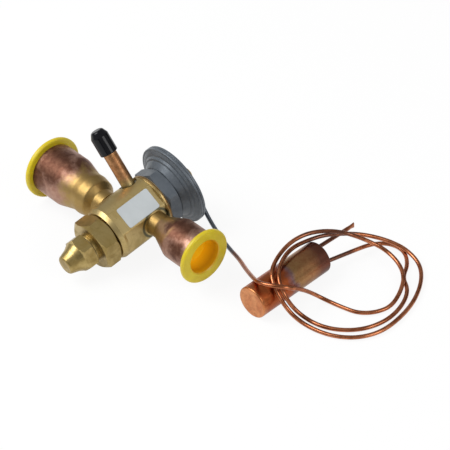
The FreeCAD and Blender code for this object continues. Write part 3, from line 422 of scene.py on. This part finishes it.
def split(tree, position):
    """The three numbers of a position."""
    node = put(tree, "ShaderNodeSeparateXYZ")
    join(tree, position, node.inputs["Vector"])
    return node.outputs["X"], node.outputs["Y"], node.outputs["Z"]


def use(tree, group, position, **values):
    """Places a node group and sets its inputs."""
    node = put(tree, "ShaderNodeGroup", node_tree=group)
    join(tree, position, node.inputs["Position"])
    fill(node, **values)
    return node.outputs[0]


def bump(tree, shader, height, strength, distance, edge=0.0002):
    """Small dents in the shading, over edges that are a little rounded."""
    soft = put(tree, "ShaderNodeBevel", samples=4)
    soft.inputs["Radius"].default_value = edge
    node = put(tree, "ShaderNodeBump")
    node.inputs["Strength"].default_value = strength
    node.inputs["Distance"].default_value = distance
    join(tree, height, node.inputs["Height"])
    join(tree, soft.outputs["Normal"], node.inputs["Normal"])
    join(tree, node.outputs["Normal"], shader.inputs["Normal"])


def turned_metal(name, light, dark, roughness, ring_depth=0.3, stain=None):
    """Turned and handled metal: clouds of a darker tone, tool rings and a few specks."""
    material, tree, shader, spot = start_material(name, roughness, 1.0)
    cloud = use(tree, clouds, spot, Size=110.0, Low=0.38, High=0.66)
    streak = use(tree, rings, spot, Fineness=700.0)
    dirt = use(tree, specks, spot, Size=500.0, Amount=0.16)
    tone = blend_colours(tree, cloud, light, dark)
    grime = tuple(v * 0.3 for v in dark)
    tone = blend_colours(tree, rescale(tree, streak, 0.5, 0.75, 0.0, 0.4), tone, dark)
    tone = blend_colours(tree, dirt, tone, grime)
    if stain is not None:
        tone = stain(tree, spot, tone)
    join(tree, tone, shader.inputs["Base Color"])
    line = use(tree, rings, spot, Fineness=2600.0)
    rough = calculate(tree, "MULTIPLY_ADD", cloud, 0.14, roughness - 0.05)
    join(tree, rough, shader.inputs["Roughness"])
    bump(tree, shader, line, ring_depth, 0.00006)
    return material


def flux_stain_and_port_shade(tree, spot, tone):
    """Orange-brown flux at the rim next to the head, and dark lines of painted shade round the
    tubes.
    """
    along, _, _ = split(tree, spot)
    wander = use(tree, clouds, spot, Size=180.0, Low=0.3, High=0.7)
    edge = calculate(tree, "MULTIPLY_ADD", wander, 0.0014, along)
    rim = rescale(tree, edge, -0.0013, 0.0002, 0.0, 0.9)
    tone = blend_colours(tree, rim, tone, ORANGE_FLUX)
    # Painted shade: a dark line round each tube where it meets the body.
    for start, way, radius, width in PORT_SHADE_LINES:
        line = use(tree, port_shade_ring, spot, Start=(start, 0.0, 0.0), Way=way,
                   Radius=radius, Width=width)
        tone = blend_colours(tree, calculate(tree, "MULTIPLY", line, 0.85), tone, PORT_SHADE)
    return tone


print("maker's tools ready")

# %% [markdown]
# The body and the two nuts are brass: yellow, slightly green in the shade, with darker
# clouds where hands have been. The nuts are a little darker than the body. The ports are told
# by where they lie along the valve's axis, and a line of painted shade round a port by its
# place, way, radius and width.

# %% Brass
INLET_ALONG, OUTLET_ALONG, SIDE_ALONG = -0.0111, -0.0201, -0.0084
# The orange is a real flux stain; the dark colour is painted shade for the lines round the
# ports.
ORANGE_FLUX, PORT_SHADE = (0.27, 0.115, 0.03), (0.075, 0.085, 0.06)
PORT_SHADE_LINES = ((INLET_ALONG, (0.0, -1.0, 0.0), 0.0088, 0.0011),
              (SIDE_ALONG, (0.0, 0.53, 0.848), 0.0046, 0.0009))
brass_body = turned_metal("turned_brass", (0.56, 0.43, 0.195), (0.43, 0.32, 0.13), 0.41,
                          stain=flux_stain_and_port_shade)
brass_nut = turned_metal("nut_brass", (0.46, 0.345, 0.14), (0.31, 0.22, 0.075), 0.35)
bright_brass = turned_metal("bright_brass", (0.62, 0.46, 0.19), (0.5, 0.36, 0.13), 0.28)
sheet_brass = turned_metal("sheet_brass", (0.6, 0.44, 0.17), (0.5, 0.35, 0.12), 0.35)
stainless = turned_metal("ground_steel", (0.56, 0.57, 0.58), (0.44, 0.45, 0.47), 0.25)
spring_steel = turned_metal("spring_wire", (0.3, 0.31, 0.33), (0.2, 0.21, 0.22), 0.35)
print("brass and steel ready")

# %% [markdown]
# The power head is steel with a grey phosphate coat. It is not bare metal, so it is mixed:
# partly metallic, with soft highlights and lighter rubbed patches.

# %% Grey coated steel
grey_steel, tree, shader, spot = start_material("grey_coat", 0.38, 0.35)
cloud = use(tree, clouds, spot, Size=45.0, Low=0.3, High=0.72)
fine = use(tree, clouds, spot, Size=420.0, Low=0.35, High=0.7)
tone = blend_colours(tree, cloud, (0.125, 0.145, 0.168), (0.085, 0.1, 0.118))
tone = blend_colours(tree, calculate(tree, "MULTIPLY", fine, 0.35), tone, (0.17, 0.19, 0.21))
rub = use(tree, specks, spot, Size=260.0, Amount=0.1)
tone = blend_colours(tree, rub, tone, (0.3, 0.32, 0.34))
join(tree, tone, shader.inputs["Base Color"])
bump(tree, shader, fine, 0.12, 0.00008, 0.0003)
print("grey coat ready")

# %% [markdown]
# The copper sockets were brazed with a torch. Near the body they are golden from the brazing
# alloy, then satin pink-brown. The large dark stains lie where the flame touched, so they are
# smudges with a centre each. The position across the valve tells how far a point lies from
# the body, and clouds break up the border of the alloy.

# %% Heat-stained copper
OUTLET_ALLOY_END, INLET_ALLOY_END = 0.047, 0.035
FLAME_MARKS = (((-0.024, 0.054, 0.0125), 0.012), ((-0.031, 0.062, 0.003), 0.009),
               ((-0.012, 0.043, 0.012), 0.007), ((-0.012, -0.040, 0.011), 0.0095),
               ((-0.018, -0.046, 0.004), 0.008), ((-0.004, -0.044, -0.006), 0.009))


def on_inlet_side(tree, sideways):
    """1 on the inlet's side of the valve's axis and 0 on the outlet's."""
    return rescale(tree, sideways, 0.001, -0.001)


copper_fitting, tree, shader, spot = start_material("torched_copper", 0.34, 1.0)
_, sideways, _ = split(tree, spot)
wander = use(tree, clouds, spot, Size=45.0, Low=0.25, High=0.75)
from_axis = calculate(tree, "ABSOLUTE", sideways)
from_axis = calculate(tree, "MULTIPLY_ADD", wander, 0.014, from_axis)
border = either(tree, on_inlet_side(tree, sideways), OUTLET_ALLOY_END, INLET_ALLOY_END)
past = calculate(tree, "SUBTRACT", from_axis, border)
fade = rescale(tree, past, -0.004, 0.004)
patch = calculate(tree, "MULTIPLY", use(tree, clouds, spot, Size=75.0, Low=0.5, High=0.68), 0.5)
for centre, radius in FLAME_MARKS:
    mark = use(tree, smudge, spot, Centre=centre, Radius=radius)
    patch = calculate(tree, "MAXIMUM", patch, mark)
fine = use(tree, clouds, spot, Size=330.0, Low=0.35, High=0.65)
pale = blend_colours(tree, fine, (0.47, 0.285, 0.215), (0.37, 0.2, 0.145))
alloy = blend_colours(tree, wander, (0.44, 0.305, 0.115), (0.32, 0.2, 0.065))
scorched = blend_colours(tree, fine, (0.12, 0.04, 0.018), (0.07, 0.02, 0.01))
copper = blend_colours(tree, calculate(tree, "MULTIPLY", patch, 0.8), pale, scorched)
tone = blend_colours(tree, fade, alloy, copper)
dirt = use(tree, specks, spot, Size=230.0, Amount=0.3)
dirt = calculate(tree, "MULTIPLY", dirt, rescale(tree, from_axis, 0.04, 0.062))
tone = blend_colours(tree, dirt, tone, (0.07, 0.02, 0.015))
join(tree, tone, shader.inputs["Base Color"])
join(tree, rescale(tree, patch, 0.0, 1.0, 0.44, 0.5), shader.inputs["Roughness"])
hammered = use(tree, clouds, spot, Size=160.0, Low=0.2, High=0.8)
bump(tree, shader, hammered, 0.2, 0.0004)
print("torched copper ready")

# %% [markdown]
# The thin side tube is plain drawn copper with a fine mottled skin. The bulb is cleaner and
# redder, and it shows the colours of heated metal along its length. A ramp gives them, from
# the bright face at one end to the burnt end where the thin tubes go in.

# %% Drawn copper and the bulb
BRAZED_GOLD = (0.46, 0.35, 0.16)
BULB_FACE, BULB_END = 0.010, 0.068
copper_tube, tree, shader, spot = start_material("drawn_copper", 0.45, 1.0)
mottle = use(tree, clouds, spot, Size=520.0, Low=0.35, High=0.65)
wide = use(tree, clouds, spot, Size=120.0, Low=0.4, High=0.6)
tone = blend_colours(tree, mottle, (0.5, 0.265, 0.125), (0.3, 0.145, 0.06))
tone = blend_colours(tree, calculate(tree, "MULTIPLY", wide, 0.5), tone, (0.42, 0.17, 0.07))
_, sideways, upwards = split(tree, spot)
brazed = rescale(tree, length_of(tree, sideways, upwards), 0.022, 0.017)
tone = blend_colours(tree, brazed, tone, BRAZED_GOLD)
join(tree, tone, shader.inputs["Base Color"])
bump(tree, shader, mottle, 0.25, 0.0001)

copper_bulb, tree, shader, spot = start_material("bulb_copper", 0.3, 1.0)
unturned = put(tree, "ShaderNodeTexCoord").outputs["Object"]
lengthways, _, _ = split(tree, unturned)
wander = use(tree, clouds, spot, Size=55.0, Low=0.2, High=0.8)
along = calculate(tree, "MULTIPLY_ADD", wander, 0.006, lengthways)
tint = ramp(tree, rescale(tree, along, BULB_FACE, BULB_END), [
    (0.0, (0.72, 0.33, 0.14)), (0.1, (0.47, 0.118, 0.034)), (0.4, (0.41, 0.1, 0.031)),
    (0.47, (0.25, 0.16, 0.17)), (0.52, (0.36, 0.205, 0.085)), (0.72, (0.36, 0.175, 0.077)),
    (0.84, (0.16, 0.066, 0.044)), (1.0, (0.12, 0.045, 0.032))])
mottle = use(tree, clouds, spot, Size=430.0, Low=0.35, High=0.7)
tone = blend_colours(tree, calculate(tree, "MULTIPLY", mottle, 0.35), tint, (0.2, 0.05, 0.02))
join(tree, tone, shader.inputs["Base Color"])
bump(tree, shader, mottle, 0.12, 0.0001)
print("tube and bulb ready")

# %% [markdown]
# The capillary is copper too, but by the head it was coated together with the head, so it is
# grey there. Its material turns from grey to copper past the inlet plug, and it is burnt dark
# again where it was brazed into the bulb.

# %% Capillary copper
GREY_GONE, GREY_FULL = -0.062, -0.044
BRAZED_END = (0.067, -0.099, 0.008)
copper_capillary, tree, shader, spot = start_material("capillary_copper", 0.3, 1.0)
unturned = put(tree, "ShaderNodeTexCoord").outputs["Object"]
_, deep, _ = split(tree, unturned)
wander = use(tree, clouds, spot, Size=90.0, Low=0.25, High=0.75)
edge = calculate(tree, "MULTIPLY_ADD", wander, 0.01, deep)
greyed = rescale(tree, edge, GREY_GONE, GREY_FULL)
mottle = use(tree, clouds, spot, Size=150.0, Low=0.35, High=0.65)
tone = blend_colours(tree, mottle, (0.53, 0.195, 0.09), (0.3, 0.095, 0.04))
tone = blend_colours(tree, greyed, tone, (0.2, 0.225, 0.255))
burnt = use(tree, smudge, unturned, Centre=BRAZED_END, Radius=0.02)
tone = blend_colours(tree, calculate(tree, "MULTIPLY", burnt, 0.75), tone, (0.1, 0.055, 0.045))
join(tree, tone, shader.inputs["Base Color"])
print("capillary copper ready")

# %% [markdown]
# The plugs are soft yellow plastic that lets a little light through. Their hollows are painted
# orange for light that passes through the thin walls, with painted shade on the walls and
# painted light on the floor, and a weak glow towards the floor paints in more light. The side
# tube's cap is glossy black vinyl. Both have a faint waviness from moulding. The gaskets are
# pressed fibre, brown with oil.

# %% Plastics, label and gaskets
OUTLET_MOUTH, INLET_MOUTH = 0.0686, 0.0568
OUTLET_HOLLOW_R, INLET_HOLLOW_R = 0.01395, 0.01078
HOLLOW_DEPTH = 0.0105
# The strength of the painted glow in the plugs' hollows.
PAINTED_HOLLOW_GLOW = 0.14


def moulded(name, light, dark, roughness, glow=0.0, index=1.5, depth=None):
    """Moulded plastic with a faint change of tone and a soft waviness.

    The glow is how much light goes through, and the index is how strongly it is bent.
    """
    material, tree, shader, spot = start_material(name, roughness, 0.0)
    shader.inputs["IOR"].default_value = index
    shader.inputs["Subsurface Weight"].default_value = glow
    shader.inputs["Subsurface Radius"].default_value = (0.004, 0.003, 0.001)
    shader.inputs["Subsurface Scale"].default_value = 1.0
    cloud = use(tree, clouds, spot, Size=70.0, Low=0.3, High=0.7)
    tone = blend_colours(tree, cloud, light, dark)
    # Painted light in a hollow: orange for light through the walls, darker walls as painted
    # shade, and a brighter floor with a glow towards it as painted light.
    if depth is not None:
        deep = depth(tree, spot)
        hollow_shade_and_light = ramp(tree, deep, [(0.0, (0.7, 0.4, 0.006)), (0.35, (0.52, 0.23, 0.004)),
                                  (1.0, (0.88, 0.48, 0.007))])
        tone = blend_colours(tree, rescale(tree, deep, 0.0, 0.08), tone, hollow_shade_and_light)
        painted_glow = blend_colours(tree, deep, (0.0, 0.0, 0.0), (0.85, 0.52, 0.004))
        join(tree, painted_glow, shader.inputs["Emission Color"])
        shader.inputs["Emission Strength"].default_value = PAINTED_HOLLOW_GLOW
    join(tree, tone, shader.inputs["Base Color"])
    wave = use(tree, clouds, spot, Size=130.0, Low=0.2, High=0.8)
    bump(tree, shader, wave, 0.08, 0.0002)
    return material


def plug_hollow(tree, spot):
    """How deep a point lies in a plug's hollow, from 0 at its mouth to 1 at its floor."""
    along, sideways, upwards = split(tree, spot)
    inlet_side = on_inlet_side(tree, sideways)
    middle = either(tree, inlet_side, OUTLET_ALONG, INLET_ALONG)
    off = calculate(tree, "SUBTRACT", along, middle)
    room = calculate(tree, "SUBTRACT", either(tree, inlet_side, OUTLET_HOLLOW_R, INLET_HOLLOW_R),
                     length_of(tree, off, upwards))
    inside = rescale(tree, room, -0.0001, 0.0001)
    deep = calculate(tree, "SUBTRACT", either(tree, inlet_side, OUTLET_MOUTH, INLET_MOUTH),
                     calculate(tree, "ABSOLUTE", sideways))
    return calculate(tree, "MULTIPLY", inside, rescale(tree, deep, 0.0, HOLLOW_DEPTH))


yellow_plastic = moulded("yellow_plastic", (0.66, 0.53, 0.012), (0.56, 0.43, 0.008), 0.36, 0.2,
                         depth=plug_hollow)
black_vinyl = moulded("black_vinyl", (0.005, 0.005, 0.007), (0.003, 0.003, 0.004), 0.13,
                      index=1.32)
label_film = moulded("label_film", (0.52, 0.555, 0.57), (0.47, 0.505, 0.52), 0.45)
fibre = moulded("pressed_fibre", (0.24, 0.18, 0.09), (0.17, 0.125, 0.06), 0.7)
white_packing = moulded("white_packing", (0.75, 0.75, 0.7), (0.65, 0.65, 0.6), 0.4)
print("plastics ready")

# %% Give every solid its finish
FINISHES = {
    "brass_body": brass_body, "brass_nut": brass_nut, "bright_brass": bright_brass,
    "sheet_brass": sheet_brass, "stainless": stainless, "spring_steel": spring_steel,
    "grey_steel": grey_steel, "copper_fitting": copper_fitting, "copper_tube": copper_tube,
    "copper_bulb": copper_bulb, "copper_capillary": copper_capillary,
    "yellow_plastic": yellow_plastic, "black_vinyl": black_vinyl, "label": label_film,
    "fibre": fibre, "white_packing": white_packing,
}
for entry in frame["record"]["subparts"]:
    solid = nodes[entry["node"]]
    solid.data.materials.clear()
    solid.data.materials.append(FINISHES[entry["material_slot"]])
capillary.data.materials.append(copper_capillary)
print("finished", len(nodes), "solids")

# %% [markdown]
# The superheat spring is one wound wire. The pin's carrier pushes on one end of it and the
# spring seat on the other, and both of them move, so the spring has to shorten from both
# ends. A piece can bend between two bodies only. The wire is therefore wound here in two
# halves that meet in the middle, where it stands still.
# The ends of the solid tell where the wire starts and how far it turns.

# %% Spring in two halves
AXIS_WAY = Vector((math.cos(AXIS_LEAN), 0.0, math.sin(AXIS_LEAN)))
SPRING_PITCH = 0.00184
WIRE_R = 0.0008
WIRE_SIDES = 12
STEPS_PER_TURN = 40

wound = nodes["superheat_spring"]
corners = [wound.matrix_world @ corner.co for corner in wound.data.vertices]
spring_tip = max(corners, key=AXIS_WAY.dot)
spring_tail = min(corners, key=AXIS_WAY.dot)
spring_length = AXIS_WAY.dot(spring_tip - spring_tail)
turns = (spring_length - 2 * WIRE_R) / SPRING_PITCH


def on_axis(depth):
    """The point on the valve's axis that lies this far behind the spring's front end."""
    tip = AXIS_START + AXIS_WAY * AXIS_WAY.dot(spring_tip - AXIS_START)
    return tip - AXIS_WAY * depth


def wire_rings(first, last):
    """The rings of points round the wire, from one count of turns to another."""
    outward = spring_tip - on_axis(0.0)
    steps = math.ceil((last - first) * STEPS_PER_TURN)
    for i in range(steps + 1):
        turn = first + (last - first) * i / steps
        out = outward.copy()
        out.rotate(Matrix.Rotation(-2 * math.pi * turn, 3, AXIS_WAY))
        centre = on_axis(WIRE_R + SPRING_PITCH * turn) + out
        for k in range(WIRE_SIDES):
            angle = 2 * math.pi * k / WIRE_SIDES
            yield centre + out.normalized() * WIRE_R * math.cos(angle) \
                + AXIS_WAY * WIRE_R * math.sin(angle)


def wire_half(name, first, last):
    """A mesh of the wire between two counts of turns, closed at both ends."""
    points = list(wire_rings(first, last))
    last_ring = len(points) - WIRE_SIDES
    faces = [tuple(reversed(range(WIRE_SIDES))), tuple(range(last_ring, len(points)))]
    for start in range(0, last_ring, WIRE_SIDES):
        for k in range(WIRE_SIDES):
            a = start + k
            b = start + (k + 1) % WIRE_SIDES
            faces.append((a, b, b + WIRE_SIDES, a + WIRE_SIDES))
    mesh = bpy.data.meshes.new(name)
    mesh.from_pydata(points, [], faces)
    mesh.shade_smooth()
    mesh.materials.append(spring_steel)
    half = bpy.data.objects.new(name, mesh)
    bpy.context.scene.collection.objects.link(half)
    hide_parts("superheat_spring")
    return half


front_half = wire_half("superheat_spring_front", 0.0, turns / 2)
back_half = wire_half("superheat_spring_back", turns / 2, turns)
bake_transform(front_half)
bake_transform(back_half)
print("spring turns", round(turns, 2), "length", round(spring_length, 5))

# %% [markdown]
# The valve lies on a white table in a white room. To the camera the table is a tenth of its
# real shading and nine tenths plain white, so that the valve's shadow still lies on it, faint
# as in the photograph. Reflections see half of each.

# %% Table and room
TABLE_HALF, TABLE_DROP = 3.0, 0.0002
PLAIN_TO_CAMERA, PLAIN_TO_GLOSS = 0.9, 0.5
ROOM_LIGHT, ROOM_GLOSS = 0.5, 0.38


def seen_by(tree, *kinds):
    """1 for the kinds of ray named, 0 for the others."""
    path = put(tree, "ShaderNodeLightPath")
    total = path.outputs[kinds[0]]
    for kind in kinds[1:]:
        total = calculate(tree, "MAXIMUM", total, path.outputs[kind])
    return total


def flat_sheet(name, width, height, material):
    """A flat sheet about its own middle."""
    mesh = bpy.data.meshes.new(name)
    w, h = width / 2, height / 2
    mesh.from_pydata([(-w, -h, 0), (w, -h, 0), (w, h, 0), (-w, h, 0)], [], [(0, 1, 2, 3)])
    mesh.materials.append(material)
    sheet = bpy.data.objects.new(name, mesh)
    bpy.context.scene.collection.objects.link(sheet)
    return sheet


table_white = bpy.data.materials.new("table_white")
table_white.use_nodes = True
tree = table_white.node_tree
shader = tree.nodes["Principled BSDF"]
shader.inputs["Base Color"].default_value = (0.9, 0.9, 0.9, 1.0)
shader.inputs["Roughness"].default_value = 0.9
shine = put(tree, "ShaderNodeEmission")
shine.inputs["Strength"].default_value = 1.0
mixed = put(tree, "ShaderNodeMixShader")
glossy = calculate(tree, "MULTIPLY", seen_by(tree, "Is Glossy Ray"), PLAIN_TO_GLOSS)
direct = seen_by(tree, "Is Camera Ray", "Is Transmission Ray")
direct = calculate(tree, "MULTIPLY", direct, PLAIN_TO_CAMERA)
join(tree, calculate(tree, "MAXIMUM", glossy, direct), mixed.inputs[0])
join(tree, shader.outputs[0], mixed.inputs[1])
join(tree, shine.outputs[0], mixed.inputs[2])
join(tree, mixed.outputs[0], tree.nodes["Material Output"].inputs["Surface"])
table = flat_sheet("table", 2 * TABLE_HALF, 2 * TABLE_HALF, table_white)
table.location.z = -TABLE_DROP

world = bpy.data.worlds.new("white_room")
bpy.context.scene.world = world
world.use_nodes = True
tree = world.node_tree
room = tree.nodes["Background"]
room.inputs["Color"].default_value = (1.0, 1.0, 1.0, 1.0)
plain = seen_by(tree, "Is Camera Ray", "Is Transmission Ray")
shared = either(tree, seen_by(tree, "Is Glossy Ray"), ROOM_LIGHT, ROOM_GLOSS)
join(tree, calculate(tree, "MAXIMUM", shared, plain), room.inputs["Strength"])
print("table and room ready")

# %% [markdown]
# One broad soft lamp stands high at the left and behind, where the highlights in the
# photograph come from. A weaker one fills the side towards the camera. Two black boards that
# only reflections can see give the brass its dark facets, as a photographer's flags do.

# %% Lamps and boards
AIM = Vector((0, 0, 0.02))


def set_up(thing, place):
    """Puts a lamp or a board at a place and turns it towards the valve."""
    thing.location = place
    thing.rotation_euler = (AIM - Vector(place)).to_track_quat("-Z", "Y").to_euler()


def soft_lamp(name, place, size, power):
    """A square lamp that shines on the valve."""
    data = bpy.data.lights.new(name, "AREA")
    data.size = size
    data.energy = power
    lamp = bpy.data.objects.new(name, data)
    set_up(lamp, place)
    bpy.context.scene.collection.objects.link(lamp)


def black_board(name, place, width, height):
    """A black board that only reflections see."""
    board = flat_sheet(name, width, height, board_black)
    set_up(board, place)
    for ray in ("camera", "diffuse", "shadow", "transmission", "volume_scatter"):
        setattr(board, "visible_" + ray, False)


soft_lamp("key_lamp", (-0.55, 0.45, 0.95), 0.75, 11.0)
soft_lamp("fill_lamp", (0.2, -1.1, 0.7), 0.6, 4.0)
board_black = bpy.data.materials.new("board_black")
board_black.use_nodes = True
shader = board_black.node_tree.nodes["Principled BSDF"]
shader.inputs["Base Color"].default_value = (0.01, 0.01, 0.01, 1.0)
shader.inputs["Roughness"].default_value = 1.0
black_board("left_board", (-0.9, -0.5, 0.15), 0.5, 0.7)
black_board("right_board", (0.9, -0.2, 0.3), 0.4, 0.7)
print("lamps and boards ready")
